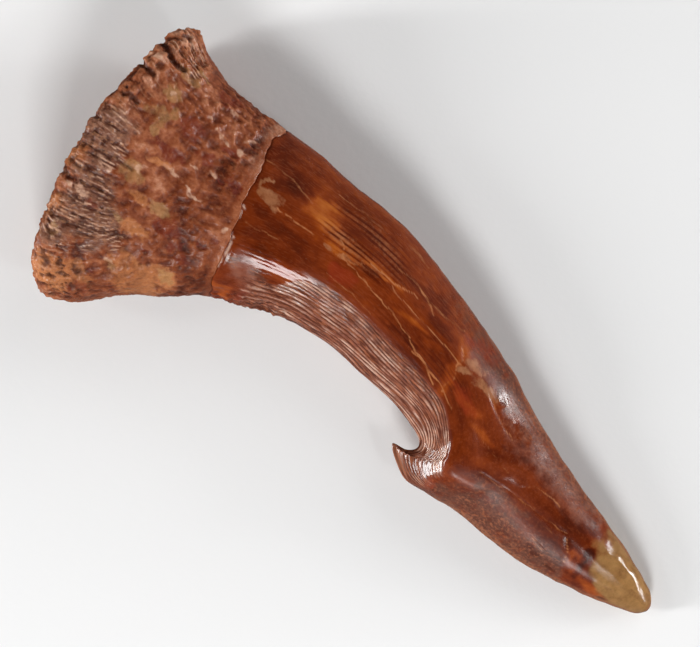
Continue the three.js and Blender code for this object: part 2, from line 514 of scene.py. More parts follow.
# ---------------------------------------------------------------------------------------------
# Meshes and materials
# ---------------------------------------------------------------------------------------------


def closed_mesh(name: str, grid: np.ndarray, first: np.ndarray, last: np.ndarray,
                marks: dict[str, np.ndarray]) -> bpy.types.Object:
    """Turns a grid of rings and two poles into a closed, smooth mesh with its attributes.

    Args:
        name: name of the object.
        grid: rings of positions in mm, each closed round.
        first: pole before the first ring, in mm.
        last: pole after the last ring, in mm.
        marks: attribute name to one number, or three, per point of the grid.

    Returns:
        The new object, in metres.
    """
    rings, columns = grid.shape[:2]
    i, j = np.meshgrid(np.arange(rings - 1), np.arange(columns), indexing="ij")
    k = (j + 1) % columns
    quads = np.stack([i * columns + j, i * columns + k, (i + 1) * columns + k,
                      (i + 1) * columns + j], axis=-1).reshape(-1, 4)
    j = np.arange(columns)
    k = (j + 1) % columns
    poles = rings * columns
    start = np.stack([np.full(columns, poles), k, j], axis=-1)
    stop = np.stack([np.full(columns, poles + 1), j + poles - columns, k + poles - columns], -1)

    vertices = np.concatenate([grid.reshape(-1, 3), first[None], last[None]]) * MM
    loops = np.concatenate([quads.ravel(), start.ravel(), stop.ravel()])
    totals = np.concatenate([np.full(len(quads), 4), np.full(2 * columns, 3)])
    mesh = bpy.data.meshes.new(name)
    mesh.vertices.add(len(vertices))
    mesh.vertices.foreach_set("co", vertices.astype(np.float32).ravel())
    mesh.loops.add(len(loops))
    mesh.loops.foreach_set("vertex_index", loops.astype(np.int32))
    mesh.polygons.add(len(totals))
    starts = np.concatenate([[0], np.cumsum(totals)[:-1]])
    mesh.polygons.foreach_set("loop_start", starts.astype(np.int32))
    mesh.polygons.foreach_set("use_smooth", np.ones(len(totals), dtype=bool))
    mesh.update(calc_edges=True)
    mesh.validate()

    for mark, values in marks.items():
        vector = values.ndim == 3
        flat = values.reshape(-1, 3) if vector else values.reshape(-1, 1)
        ends = np.stack([flat[:columns].mean(axis=0), flat[-columns:].mean(axis=0)])
        layer = mesh.attributes.new(mark, "FLOAT_VECTOR" if vector else "FLOAT", "POINT")
        layer.data.foreach_set("vector" if vector else "value",
                               np.concatenate([flat, ends]).astype(np.float32).ravel())
    piece = bpy.data.objects.new(name, mesh)
    bpy.context.scene.collection.objects.link(piece)
    return piece


def add(tree: bpy.types.NodeTree, kind: str, settings: dict[str, Any] | None = None,
        inputs: dict[Any, Any] | None = None) -> bpy.types.Node:
    """Adds one node with its settings and links.

    Args:
        tree: the node tree.
        kind: Blender's name of the node.
        settings: node properties to set.
        inputs: input name or number to a value, or to the socket that feeds it.

    Returns:
        The new node.
    """
    node = tree.nodes.new(kind)
    for key, value in (settings or {}).items():
        setattr(node, key, value)
    for key, value in (inputs or {}).items():
        if isinstance(value, bpy.types.NodeSocket):
            tree.links.new(value, node.inputs[key])
        else:
            node.inputs[key].default_value = value
    return node


@dataclass(frozen=True)
class Stain:
    """Two colours that lie where an attribute of the mesh says, with edges broken by noise."""

    mark: str
    colour: str
    other: str
    strength: float = 1.0
    ragged: float = 0.5


@dataclass(frozen=True)
class FossilFinish:
    """Mineralised tooth: a ramp of depths of colour, wandering along the grain, under stains.

    Sizes are in mm.  A fine relief of grains and fibres, as strong as the mesh says, gets painted
    shade in its hollows and a painted highlight, with polish, on its crests, and stands up as
    bump.  The reaches are the heights of that relief where a layer starts and is full.  The
    refraction is that of apatite, the mineral of enamel and bone, a little lowered for its
    weathered skin.
    """

    name: str
    ramp: tuple[tuple[float, str], ...]
    stains: tuple[Stain, ...]
    streak_across: float
    streak_along: float
    streak_strength: float
    speck_size: float
    speck_strength: float
    ragged_size: float
    roughness_dull: float
    roughness_polished: float
    specular: float
    grain_size: float
    fibre_across: float
    fibre_along: float
    relief_depth: float
    hollow_shade_colour: str
    hollow_shade_strength: float
    crest_highlight_colour: str
    crest_highlight_strength: float
    hollow_shade_reach: tuple[float, float] = (0.48, 0.38)
    crest_highlight_reach: tuple[float, float] = (0.53, 0.63)
    refraction: float = 1.55

    def material(self) -> bpy.types.Material:
        """Builds the node tree: tone ramp, stains, hollows and crests, gloss and bump.

        Returns:
            The material.
        """
        material = bpy.data.materials.new(self.name)
        material.use_nodes = True
        tree = material.node_tree
        tree.nodes.clear()
        relief = self.relief(tree)
        rugged = add(tree, "ShaderNodeAttribute", {"attribute_name": "rugged"}).outputs["Fac"]
        colour, ragged = self.stained(tree)
        # Painted shade in the hollows of the fine relief, then a painted highlight on its crests.
        colour, _ = self.layer(tree, colour, self.hollow_shade_colour, relief, rugged,
                               self.hollow_shade_reach, self.hollow_shade_strength)
        colour, crest = self.layer(tree, colour, self.crest_highlight_colour, relief, rugged,
                                   self.crest_highlight_reach, self.crest_highlight_strength)

        # The gloss follows the mesh's polish, is broken up by noise and is higher on crests.
        polish = add(tree, "ShaderNodeAttribute", {"attribute_name": "polish"}).outputs["Fac"]
        worn = add(tree, "ShaderNodeMath", {"operation": "MULTIPLY_ADD"},
                   {0: ragged, 1: 0.5, 2: polish}).outputs[0]
        handled = add(tree, "ShaderNodeMath", {"operation": "MULTIPLY_ADD"},
                      {0: crest, 1: 0.6, 2: worn}).outputs[0]
        gloss = add(tree, "ShaderNodeMapRange", None,
                    {"Value": handled, "From Min": 0.25, "From Max": 1.25,
                     "To Min": self.roughness_dull, "To Max": self.roughness_polished})
        height = add(tree, "ShaderNodeMath", {"operation": "MULTIPLY"}, {0: relief, 1: rugged})
        bump = add(tree, "ShaderNodeBump", None,
                   {"Height": height.outputs[0], "Distance": self.relief_depth * MM})
        shader = add(tree, "ShaderNodeBsdfPrincipled", None,
                     {"Base Color": colour, "Roughness": gloss.outputs[0],
                      "IOR": self.refraction,
                      "Specular IOR Level": self.specular, "Normal": bump.outputs["Normal"]})
        add(tree, "ShaderNodeOutputMaterial", None, {"Surface": shader.outputs[0]})
        return material

    def relief(self, tree: bpy.types.NodeTree) -> bpy.types.NodeSocket:
        """Fine relief: round noise for grains and noise drawn out along the tooth for fibres.

        Args:
            tree: the node tree.

        Returns:
            Its height, around a half.
        """
        place = add(tree, "ShaderNodeTexCoord")
        grain = add(tree, "ShaderNodeAttribute", {"attribute_name": "grain"})
        fibrous = add(tree, "ShaderNodeAttribute", {"attribute_name": "fibrous"})
        grains = add(tree, "ShaderNodeTexNoise", None,
                     {"Vector": place.outputs["Object"], "Scale": 1.0 / (self.grain_size * MM),
                      "Detail": 2.0, "Roughness": 0.55})
        scale = (1.0 / self.fibre_along, 1.0 / self.fibre_across, 1.0 / self.fibre_across)
        drawn = add(tree, "ShaderNodeVectorMath", {"operation": "MULTIPLY"},
                    {0: grain.outputs["Vector"], 1: scale})
        fibres = add(tree, "ShaderNodeTexNoise", None,
                     {"Vector": drawn.outputs[0], "Scale": 1.0, "Detail": 2.0,
                      "Roughness": 0.5, "Distortion": 0.3})
        both = add(tree, "ShaderNodeMix", {"data_type": "FLOAT"},
                   {0: fibrous.outputs["Fac"], 2: grains.outputs["Fac"],
                    3: fibres.outputs["Fac"]})
        return both.outputs[0]

    def layer(self, tree: bpy.types.NodeTree, below: bpy.types.NodeSocket, colour: str,
              relief: bpy.types.NodeSocket, rugged: bpy.types.NodeSocket,
              reach: tuple[float, float], strength: float
              ) -> tuple[bpy.types.NodeSocket, bpy.types.NodeSocket]:
        """Lays a colour where the fine relief passes a height, as far as the mesh is rugged.

        Args:
            tree: the node tree.
            below: colour under the layer.
            colour: its sRGB hex colour.
            relief: height of the fine relief.
            rugged: how rugged the mesh is there.
            reach: heights where the layer starts and is full.
            strength: how much it covers where it is full.

        Returns:
            The new colour and the layer's share.
        """
        # This lays the painted shade in the hollows and the painted highlight on the crests.
        share = add(tree, "ShaderNodeMapRange", None,
                    {"Value": relief, "From Min": reach[0], "From Max": reach[1],
                     "To Max": strength})
        held = add(tree, "ShaderNodeMath", {"operation": "MULTIPLY", "use_clamp": True},
                   {0: share.outputs[0], 1: rugged})
        mixed = add(tree, "ShaderNodeMix", {"data_type": "RGBA"},
                    {0: held.outputs[0], 6: below, 7: linear(colour)})
        return mixed.outputs[2], held.outputs[0]

    def stained(self, tree: bpy.types.NodeTree
                ) -> tuple[bpy.types.NodeSocket, bpy.types.NodeSocket]:
        """Ramp read at the mesh's tone plus streaks and specks, with the stains laid over it.

        Args:
            tree: the node tree.

        Returns:
            The colour, and the noise that breaks up the edges of the stains.
        """
        place = add(tree, "ShaderNodeTexCoord")
        grain = add(tree, "ShaderNodeAttribute", {"attribute_name": "grain"})
        tone = add(tree, "ShaderNodeAttribute", {"attribute_name": "tone"})
        scale = (1.0 / self.streak_along, 1.0 / self.streak_across, 1.0 / self.streak_across)
        drawn = add(tree, "ShaderNodeVectorMath", {"operation": "MULTIPLY"},
                    {0: grain.outputs["Vector"], 1: scale})
        streak = add(tree, "ShaderNodeTexNoise", None,
                     {"Vector": drawn.outputs[0], "Scale": 1.0, "Detail": 4.0,
                      "Roughness": 0.6, "Distortion": 0.4})
        speck = add(tree, "ShaderNodeTexNoise", None,
                    {"Vector": place.outputs["Object"], "Scale": 1.0 / (self.speck_size * MM),
                     "Detail": 4.0, "Roughness": 0.62})
        streaked = add(tree, "ShaderNodeMath", {"operation": "MULTIPLY_ADD"},
                       {0: streak.outputs["Fac"], 1: self.streak_strength,
                        2: tone.outputs["Fac"]})
        specked = add(tree, "ShaderNodeMath", {"operation": "MULTIPLY_ADD"},
                      {0: speck.outputs["Fac"], 1: self.speck_strength,
                       2: streaked.outputs[0]})
        centred = add(tree, "ShaderNodeMath", {"operation": "SUBTRACT"},
                      {0: specked.outputs[0],
                       1: 0.5 * (self.streak_strength + self.speck_strength)})
        base = add(tree, "ShaderNodeValToRGB", None, {"Fac": centred.outputs[0]})
        ramp = base.color_ramp
        while len(ramp.elements) < len(self.ramp):
            ramp.elements.new(0.5)
        for element, (position, colour_there) in zip(ramp.elements, self.ramp):
            element.position = position
            element.color = linear(colour_there)

        colour = base.outputs["Color"]
        ragged = add(tree, "ShaderNodeTexNoise", None,
                     {"Vector": place.outputs["Object"], "Scale": 1.0 / (self.ragged_size * MM),
                      "Detail": 5.0, "Roughness": 0.7})
        for stain in self.stains:
            mark = add(tree, "ShaderNodeAttribute", {"attribute_name": stain.mark})
            broken = add(tree, "ShaderNodeMath", {"operation": "MULTIPLY_ADD"},
                         {0: ragged.outputs["Fac"], 1: stain.ragged, 2: mark.outputs["Fac"]})
            share = add(tree, "ShaderNodeMapRange", {"interpolation_type": "SMOOTHSTEP"},
                        {"Value": broken.outputs[0], "From Min": 0.62 * stain.ragged,
                         "From Max": 1.0 + 0.6 * stain.ragged, "To Max": stain.strength})
            pair = add(tree, "ShaderNodeMix", {"data_type": "RGBA"},
                       {0: speck.outputs["Fac"], 6: linear(stain.colour),
                        7: linear(stain.other)})
            layer = add(tree, "ShaderNodeMix", {"data_type": "RGBA"},
                        {0: share.outputs[0], 6: colour, 7: pair.outputs[2]})
            colour = layer.outputs[2]
        return colour, ragged.outputs["Fac"]


# ---------------------------------------------------------------------------------------------
# The crown
# ---------------------------------------------------------------------------------------------

# Fossil enamel: glassy and stained by iron, so it is a clear gloss over red-brown depth.
FOSSIL_ENAMEL = FossilFinish(
    name="fossil_enamel",
    ramp=((0.10, "#3a1004"), (0.30, "#561c06"), (0.50, "#722c0c"), (0.70, "#8e4012"),
          (0.92, "#ac5e22")),
    stains=(
        Stain("red", "#7c2410", "#863016", 0.65),
        Stain("violet", "#4f2e22", "#654033", 0.8, 0.9),
        # This pale stain also carries painted glints: on the horn tip's upper side.
        Stain("chalk_and_glint", "#74401f", "#c08a62", 0.65, 1.3),
        Stain("horn", "#66401c", "#a88050", 1.0, 0.4),
        Stain("band", "#794535", "#8c5a48", 0.9, 0.5),
        Stain("furrow", "#40180a", "#562614", 0.9, 0.8),
        Stain("ridge", "#a87c66", "#dabcaa", 0.9, 1.1),
        Stain("rind", "#6c3820", "#946248", 0.75, 0.6),
        Stain("vein", "#9c5830", "#c88858", 0.75, 0.8),
    ),
    streak_across=0.6, streak_along=4.5, streak_strength=0.22,
    speck_size=0.8, speck_strength=0.34, ragged_size=0.25,
    roughness_dull=0.42, roughness_polished=0.1, specular=0.24,
    grain_size=0.2, fibre_across=0.1, fibre_along=0.9, relief_depth=0.018,
    # The fine relief's hollows get painted shade and its crests a painted highlight.
    hollow_shade_colour="#3c1305", hollow_shade_strength=0.5, crest_highlight_colour="#a4603e", crest_highlight_strength=0.5,
)


@dataclass
class Crown:
    """Enamel crown: lens-like blade with a striated hollow edge, a barb and a blunt tip."""

    skin: ToothSkin
    columns: int = 392
    rings: int = 246
    column_ratio: float = 1.6
    tuck_depths: tuple[float, ...] = (0.5, 0.25, 0.1)
    band_start: float = 0.66
    stria_width: float = 0.0245
    hairline_width: float = 0.032
    stria_depth: float = 0.055
    ledge_depth: float = 0.12
    lip_height: float = 0.1
    crumb_height: float = 0.12
    chip_height: float = 0.05
    groove_depth: float = 0.04
    crack_depth: float = 0.022
    crack_width: float = 0.16
    vein_width: float = 0.078
    faint_vein_width: float = 0.09
    ripple_height: float = 0.03
    fine_height: float = 0.006
    fine_size: float = 0.3
    blade_fine_size: float = 0.42
    keel_height: float = 0.03
    keel_unevenness: float = 0.05
    keel_width: float = 0.6
    # Amber of the enamel, painted brighter as a glow of light passing through it.
    amber_and_glow_spots: tuple[Oval, ...] = (
        (3.8, 3.0, 1.5, 1.2), (5.6, 2.1, 1.8, 0.8), (9.0, 2.6, 2.4, 0.3), (12.4, 1.2, 2.2, 0.3),
        (15.4, 0.8, 1.3, 0.4), (18.7, -0.4, 1.7, 0.5), (21.0, -1.2, 1.8, 0.5),
        (31.5, -3.8, 0.3, 0.9), (1.5, -5.2, 1.0, 0.4), (33.2, -4.8, 2.0, 0.6),
    )
    dark_spots: tuple[Oval, ...] = (
        (-0.7, 4.4, 2.2, 1.8), (1.4, 3.4, 1.9, 1.2), (2.4, 0.4, 2.8, 0.6), (9.3, 2.1, 1.6, 0.4),
        (12.6, 3.3, 2.0, 0.6), (14.0, 2.4, 1.5, 0.5), (12.4, 0.0, 2.4, 0.4),
        (30.6, -2.4, 1.9, 1.3), (29.4, -4.4, 1.8, 0.8),
    )
    red_spots: tuple[Oval, ...] = (
        (7.4, 0.7, 1.5, 0.8), (18.6, -0.3, 1.6, 0.8), (17.6, 3.0, 2.0, 0.6), (4.0, -1.6, 1.6, 0.6),
        (3.2, -4.6, 1.4, 0.5), (20.4, -6.0, 1.2, 0.7),
    )
    polished_spots: tuple[Oval, ...] = (
        (3.9, -1.7, 3.6, 1.5), (19.6, -4.2, 1.6, 2.2), (20.9, 1.1, 0.9, 0.6),
        (23.2, 0.1, 1.1, 0.5), (34.8, -2.3, 3.8, 0.8), (7.0, 2.5, 1.4, 0.6),
    )
    dull_spots: tuple[Oval, ...] = ((26.0, -4.4, 8.0, 1.5), (18.6, 1.9, 1.8, 0.7))
    chalk_spots: tuple[Oval, ...] = (
        (-0.1, 2.1, 0.35, 0.6), (0.5, 1.4, 0.8, 0.45), (1.1, 1.1, 0.5, 0.3), (5.3, 1.5, 0.8, 0.3),
        (6.3, 1.9, 0.5, 0.4), (18.3, 1.7, 1.4, 0.5), (19.6, 1.0, 1.5, 0.5), (17.7, 1.1, 0.8, 0.4),
    )
    violet_spots: tuple[Oval, ...] = (
        (3.2, -3.0, 1.6, 0.6), (0.9, -3.4, 0.6, 0.7), (7.0, -0.6, 1.5, 0.4), (19.4, 2.3, 2.2, 0.6),
        (22.6, 1.2, 2.6, 1.0), (24.6, -4.0, 3.0, 0.9),
    )
    combed_spots: tuple[tuple[Oval, float], ...] = (
        ((7.2, 3.2, 4.6, 1.9), 1.0), ((13.0, -0.2, 9.0, 1.3), 0.25),
        ((4.6, -2.0, 4.4, 1.5), 0.22), ((26.0, -2.0, 7.0, 3.0), 0.06),
        ((21.8, 0.8, 3.0, 1.0), 0.3),
    )
    # Where the striae's ridges get their brightest painted glints.
    notch_glint_face: Oval = (19.6, -4.0, 1.7, 1.9)
    barb_face: Oval = (18.2, -5.9, 2.6, 1.3)
    barb_edge: Oval = (18.6, -6.4, 2.2, 0.9)
    collar_flush: Oval = (2.7, -3.7, 2.6, 1.1)
    # Where the tip's upper side gets a painted highlight.
    horn_gleam: Oval = (33.3, -1.9, 1.7, 0.6)
    horn_belly: Oval = (34.2, -4.9, 2.6, 0.5)
    amber_seam: tuple[Point, ...] = (
        (16.3, 2.7), (16.8, 2.0), (17.1, 1.3), (16.9, 0.6), (17.2, -0.2), (17.3, -1.1),
    )
    bruise: tuple[Point, ...] = ((31.95, -2.9), (31.9, -3.8), (32.05, -4.6))
    # Painted glints along the enamel's lip, laid in the pale ridge colour.
    lip_glints: tuple[tuple[Point, ...], ...] = (
        ((-1.7, 3.2), (-1.6, 2.7)), ((-0.5, 0.0), (-0.35, -0.8)),
        ((0.2, -2.0), (0.5, -3.0), (0.65, -4.2)),
    )
    keel: tuple[Point, ...] = (
        (32.4, -1.5), (34.5, -1.95), (36.0, -2.35), (36.9, -2.85), (37.2, -3.2),
    )
    faint_veins: tuple[tuple[Point, ...], ...] = (
        ((-1.4, 3.35), (1.0, 3.3), (3.0, 3.0)), ((9.2, 5.0), (10.5, 4.95), (11.4, 4.8)),
        ((0.1, -0.75), (1.2, -0.6), (2.6, -0.25)), ((12.5, 3.1), (14.3, 2.9), (16.0, 3.1)),
        ((3.6, 4.6), (5.6, 4.75), (8.0, 4.7)), ((6.4, 0.1), (8.4, 0.2), (10.4, -0.1)),
        ((20.5, -1.4), (22.0, -1.9), (24.0, -2.2)), ((26.8, -2.9), (28.0, -3.4), (29.0, -3.5)),
    )
    veins: tuple[tuple[Point, ...], ...] = (
        ((1.4, 1.27), (3.0, 1.38), (4.2, 1.47)),
        ((6.6, 1.53), (8.7, 1.4), (9.8, 1.07), (11.5, 0.93), (12.5, 0.6), (14.3, -0.07),
         (15.7, -0.47), (16.7, -1.0)),
        ((8.3, 2.53), (9.8, 2.4), (11.1, 2.6), (12.1, 2.76)),
        ((10.3, 2.27), (11.5, 2.0), (13.0, 1.8), (14.7, 1.67), (16.7, 1.2), (17.3, 1.1)),
        ((9.8, 3.47), (11.1, 3.47), (12.5, 3.13), (13.7, 2.47)),
        ((5.7, 2.47), (6.3, 1.8), (6.6, 1.5)),
        ((8.1, 2.3), (7.5, 1.7), (6.6, 1.5)),
        ((14.0, -0.15), (17.2, -0.7), (18.6, -1.5)),
        ((20.0, 0.82), (21.3, 0.18), (23.0, -0.47)),
        ((22.7, -3.45), (25.6, -3.13), (28.0, -3.05), (29.8, -2.9)),
        ((25.6, -2.4), (26.3, -1.84), (27.7, -1.6), (28.4, -1.9)),
        ((30.0, -3.13), (30.5, -3.77), (30.8, -4.66)),
        ((28.2, -4.6), (29.3, -4.74)),
        ((16.6, 2.1), (17.1, 1.5), (17.0, 0.9), (17.35, 0.2), (17.15, -0.4), (17.3, -0.9)),
    )

    def build(self) -> bpy.types.Object:
        """Builds the crown's mesh and gives it its finish.

        Returns:
            The crown.
        """
        angle = even_columns(self.columns, self.band_start - 0.06, self.column_ratio)[None, :]
        line = enamel_line(self.skin, angle)
        rows = even_rows(self.skin, self.skin.collar, self.skin.tip, self.rings + 1)[:-1, None]
        share = (rows - self.skin.collar) / (self.skin.tip - self.skin.collar)
        t = mix(line, self.skin.tip, share)
        patch = Patch(self.skin, t, angle, np.ones_like(t))
        outward = normals(patch.grid)
        height = self.relief(patch)
        grid = patch.grid + outward * height[..., None]
        grid[..., 2] = np.maximum(grid[..., 2], 0.0)
        # The first rings lie tucked under the enamel line, inside the root.
        tucked = np.stack([grid[0] - outward[0] * depth for depth in self.tuck_depths])
        marks = {name: np.concatenate([values[:1]] * len(self.tuck_depths) + [values])
                 for name, values in self.marks(patch).items()}
        inside = patch.grid[0].mean(axis=0)
        tip = self.skin.surface(np.array([self.skin.tip]), np.zeros(1), np.ones(1), np.zeros(1))[0]
        piece = closed_mesh("tooth_crown", np.concatenate([tucked, grid]), inside, tip, marks)
        piece.data.materials.append(FOSSIL_ENAMEL.material())
        return piece

    def in_band(self, patch: Patch) -> np.ndarray:
        """Share of the striated band: the concave side from the enamel line to past the barb.

        Args:
            patch: the crown's grid.

        Returns:
            Values from 0 to 1, the product of smooth steps at the band's margins.
        """
        t = patch.t
        start = self.band_start + 0.015 * noise(patch.grain, 2.0, 31)
        start = start + 0.15 * (1 - step(5.5, 6.6, t))
        across = step(start, start + 0.03, patch.w)
        end = mix(15.0, 16.6, step(0.7, 0.93, patch.w))
        return across * step(4.4, 5.4, t) * (1 - step(end, end + 1.6, t))

    def striae(self, patch: Patch) -> np.ndarray:
        """Ridges of (0.5 + 0.5 cos)^0.8 across the width, their phase and height wandering.

        Args:
            patch: the crown's grid.

        Returns:
            Ridge height from 0 to 1.
        """
        slow = patch.grain * (0.2, 1, 1)
        phase = patch.w / self.stria_width + 1.0 * noise(slow, 0.8, 33)
        ridge = (0.5 + 0.5 * np.cos(TAU * phase)) ** 0.8
        uneven = (0.65 + 0.6 * noise(slow, 0.33, 35)
                  + 0.4 * noise(patch.grain * (0.35, 1, 1), 0.3, 36))
        return np.clip(uneven * ridge, 0.0, 1.0)

    def hairlines(self, patch: Patch) -> tuple[np.ndarray, np.ndarray]:
        """Narrow grooves, the cube of a raised cosine across the width, where the crown has them.

        Args:
            patch: the crown's grid.

        Returns:
            Strength of the grooves and of the ground between them, from 0 to 1.
        """
        wander = 0.7 * noise(patch.grain * (0.2, 1, 1), 1.1, 39)
        line = (0.5 + 0.5 * np.cos(TAU * (patch.w / self.hairline_width + wander))) ** 3
        x = patch.x + 1.2 * noise(patch.grain * (0.3, 2, 1), 1.0, 38)
        combed = sum(share * blot(x, patch.y, spot) for spot, share in self.combed_spots)
        broken = 0.75 + 0.9 * noise(patch.grain * (0.12, 1.3, 1), 0.7, 40)
        ground = np.clip(combed * broken, 0.0, 1.0)
        return line * ground, (1 - line) * ground

    def relief(self, patch: Patch) -> np.ndarray:
        """Sum of the striae, the ledge above them, ripples, grooves, cracks, chips and the keel.

        The grooves and cracks are cut in, and the enamel rounds down to its line by the square
        of the distance left.

        Args:
            patch: the crown's grid.

        Returns:
            Height in mm along the outward normal.
        """
        t, w, x, y, grain = patch.t, patch.w, patch.x, patch.y, patch.grain
        band = self.in_band(patch) * (1 - step(0.98, 1.0, w))
        striae = self.stria_depth * band * (self.striae(patch) - 0.5)
        ledge = -self.ledge_depth * band * step(8, 13, t) * (1 - step(15, 17, t))
        ripple = self.ripple_height * rough(grain * (0.5, 1, 1), Grain.RIPPLE.value, 37)
        grooves = -self.groove_depth * self.hairlines(patch)[0]
        cracks = -self.crack_depth * strokes(x, y, self.veins, self.crack_width)
        crumble = step(0.9, 0.97, w) * (1 - step(5.8, 7.0, t))
        margin = np.maximum(step(0.975, 1.0, w), 1 - step(0.0, 0.02, w))
        chips = (self.crumb_height * crumble * rough(patch.grid, Grain.CRUMB.value, 41, 2)
                 + self.chip_height * margin * rough(patch.grid, 1.2, 42, 2))
        fine = self.fine_height * mix(rough(grain * (0.4, 1, 1), self.fine_size, 43, 2),
                                      rough(patch.grid, self.blade_fine_size, 45, 2),
                                      step(18.0, 21.0, x))
        line = enamel_line(self.skin, patch.angle)
        keel = ((self.keel_height + self.keel_unevenness * noise(patch.grid, 0.7, 44))
                * stroke(x, y, self.keel, self.keel_width))
        lip = -self.lip_height * (1 - step(0.0, 0.14, t - line)) ** 2
        worn = step(0.0, 0.4, patch.grid[..., 2])
        blunt = 1 - step(self.skin.tip - 1.2, self.skin.tip, t)
        loose = striae + ledge + (ripple + fine) * blunt + grooves + cracks + chips + keel
        return loose * worn * step(0.0, 0.2, t - line) + lip

    def marks(self, patch: Patch) -> dict[str, np.ndarray]:
        """Places the tones and stains: ovals, strokes and margins on a slightly warped plan.

        Args:
            patch: the crown's grid.

        Returns:
            Values by name, most from 0 to 1, and the grain coordinates.
        """
        w, t, grain = patch.w, patch.t, patch.grain
        x = patch.x + 0.9 * rough(patch.grid, 1.4, 51)
        y = patch.y + 0.35 * rough(patch.grid * (0.5, 1, 1), 1.0, 53)
        fine_x = patch.x + 0.2 * noise(patch.grid, 0.8, 55)
        fine_y = patch.y + 0.12 * noise(patch.grid, 0.5, 57)
        band = self.in_band(patch)
        striae = self.striae(patch)
        groove, ground = self.hairlines(patch)
        mottle = 0.5 + 0.5 * rough(grain * (0.45, 1, 1), 1.3, 59)
        grainy = 0.5 + 0.5 * rough(patch.grid, 0.45, 60)
        streaks = rough(grain * (0.12, 1, 1), 0.55, 61)
        dashes = noise(grain * (0.28, 1, 1), 0.34, 64)
        speckled = pits(grain * (0.6, 1, 1), 0.8, 62, 0.6)

        # The two flanks of the blade are weathered: violet, dust-coloured and speckled, and the
        # convex flank has a painted sheen.
        convex = (1 - step(0.06, 0.3, w)) * (0.3 + 0.7 * step(12.0, 20.0, patch.x))
        concave = step(0.6, 0.8, w) * step(19.0, 22.5, x) * (1 - band)
        flank = (1 - step(0.2, 0.4, w)) * step(17.0, 20.0, x)
        specks = np.maximum(concave, 0.6 * flank) * speckled
        violet = (np.maximum.reduce([convex, 1.3 * concave, blots(x, y, self.violet_spots)])
                  * (0.3 + 0.5 * mottle + 0.4 * grainy) * (1 - step(29.5, 31.5, x)))
        # Dust colour on the blade, and on its convex flank a painted sheen.
        dust_and_sheen = (step(20.5, 24.0, x) * (1 - step(30.0, 32.0, x))
                 * np.maximum.reduce([0.3 * mottle, 0.38 * concave * mottle,
                                      0.75 * flank * (0.3 + 0.7 * grainy)]))
        flushed = blot(x, y, self.collar_flush) * (0.35 + 0.7 * grainy)

        # The horn-coloured tip, with a dark bruise before it and a painted highlight on its upper
        # side.
        horn = step(31.9, 33.1, x + 0.3 * np.sin(2.4 * y) - 1.6 * step(3.6, 5.0, -y))
        gleam = 1.4 * horn * grainy * blot(x, y, self.horn_gleam)
        smudged = 0.8 * horn * step(0.1, 0.5, noise(patch.grid * (0.6, 1, 1), 0.45, 66))
        bruise = stroke(fine_x, fine_y, self.bruise, 0.45)

        # Worn margins: both edges of the blade, the very tip, the barb and the enamel's lip, with
        # painted glints along the lip.
        margin = 0.045 * step(20, 23, patch.x) + 0.025 * step(30, 33, patch.x)
        edges = np.maximum(step(0.965 - margin, 0.995, w) * step(19, 24, patch.x),
                           (1 - step(0.003, 0.02 + 0.6 * margin, w)) * step(10, 13, patch.x))
        edges = np.maximum(edges, step(self.skin.tip - 1.0, self.skin.tip - 0.3, t))
        barb = blot(x, y, self.barb_edge) * step(0.9, 0.97, w)
        lip = 1 - step(0.12, 0.3, t - enamel_line(self.skin, patch.angle))
        glint = strokes(patch.x, patch.y, self.lip_glints, 0.13)

        # Veins of mineral, the fainter ones 0.6 times as strong.
        vein = np.maximum(strokes(fine_x, fine_y, self.veins, self.vein_width),
                          0.6 * strokes(fine_x, fine_y, self.faint_veins, self.faint_vein_width))
        vein = vein * (0.8 + 0.5 * noise(patch.grid, 0.7, 63)) * (1 - 0.35 * step(19, 24, patch.x))

        # Each factor here is how far a mark moves the tone along the ramp, or the polish.
        blended = 0.6 + 0.6 * mottle
        # The amber spots are the enamel's amber together with a painted glow of light through it.
        tone = (0.43 + 0.25 * blots(x, y, self.amber_and_glow_spots) * blended
                - 0.17 * blots(x, y, self.dark_spots) * blended
                + 0.2 * stroke(fine_x, fine_y, self.amber_seam, 0.55)
                + 0.06 * streaks + 0.22 * (mottle - 0.5) - 0.3 * bruise - 0.05 * step(19, 24, x)
                - 0.25 * specks + 0.3 * horn * (mottle - 0.5)
                + 0.08 * (1 - step(0.03, 0.12, w)) - 0.4 * groove + 0.14 * ground)
        polished = np.maximum(blots(x, y, self.polished_spots), lip) * patch.top
        polish = (0.65 + 0.5 * polished - 0.45 * violet * (1 - polished)
                  - 0.45 * blots(x, y, self.dull_spots) + 0.4 * band * striae * grainy)
